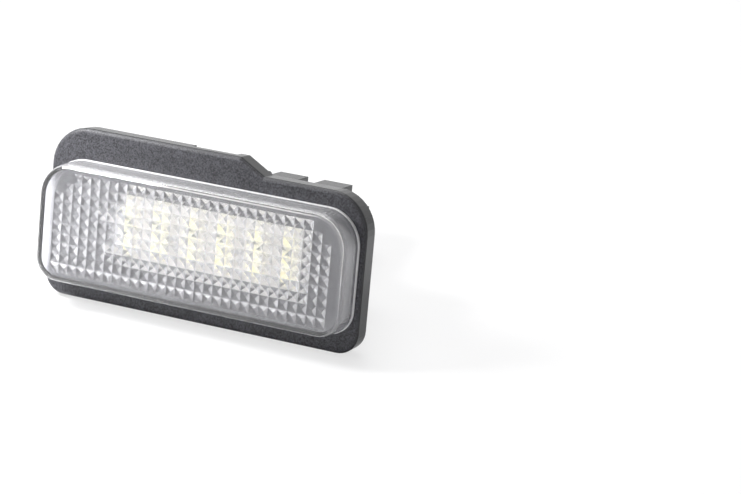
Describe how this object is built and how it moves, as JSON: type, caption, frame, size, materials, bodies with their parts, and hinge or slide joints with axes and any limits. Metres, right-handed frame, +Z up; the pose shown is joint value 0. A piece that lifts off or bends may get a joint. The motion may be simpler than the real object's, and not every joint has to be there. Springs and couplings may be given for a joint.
{
  "type": "number plate lamp",
  "caption": "Small exterior lamp with a clear prismatic lens on a black housing, a foam seal, a spring clip and a keyed plug socket behind.",
  "frame": {"origin": "middle of the flange, level with the rear edge of its rim, which seats on the outside of the panel", "axes": "+Y from the lens through the panel to the plug socket, +Z up towards the raised edge of the flange with the spring clip, +X to the right seen from the lens side"},
  "size_m": [0.0844, 0.062, 0.0412],
  "materials": {
    "housing_black": "fine-textured front, smooth sides",
    "clear_lens": "clear, polished",
    "foam": "closed-cell foam, cut face",
    "heat_sink_aluminium": "rolled sheet",
    "board_white": "white solder mask",
    "led_package": "white frame round yellow phosphor",
    "resistor_grey": "dark glaze",
    "diode_black": "moulded epoxy",
    "contact_brass": "bright stamped strip",
    "solder": "smooth solder"
  },
  "bodies": {
    "root": {"housing": "housing_black", "lens": "clear_lens", "gasket": "foam", "heat_sink": "heat_sink_aluminium", "circuit_board": "board_white", "diode": "diode_black", "contact_left": "contact_brass", "contact_right": "contact_brass", "solder_left": "solder", "solder_right": "solder", "resistor_1": "resistor_grey", "resistor_2": "resistor_grey", "resistor_3": "resistor_grey", "resistor_4": "resistor_grey", "resistor_5": "resistor_grey", "resistor_6": "resistor_grey", "led_1_1": "led_package", "led_1_2": "led_package", "led_1_3": "led_package", "led_2_1": "led_package", "led_2_2": "led_package", "led_2_3": "led_package", "led_3_1": "led_package", "led_3_2": "led_package", "led_3_3": "led_package", "led_4_1": "led_package", "led_4_2": "led_package", "led_4_3": "led_package", "led_5_1": "led_package", "led_5_2": "led_package", "led_5_3": "led_package", "led_6_1": "led_package", "led_6_2": "led_package", "led_6_3": "led_package"}
  },
  "joints": []
}
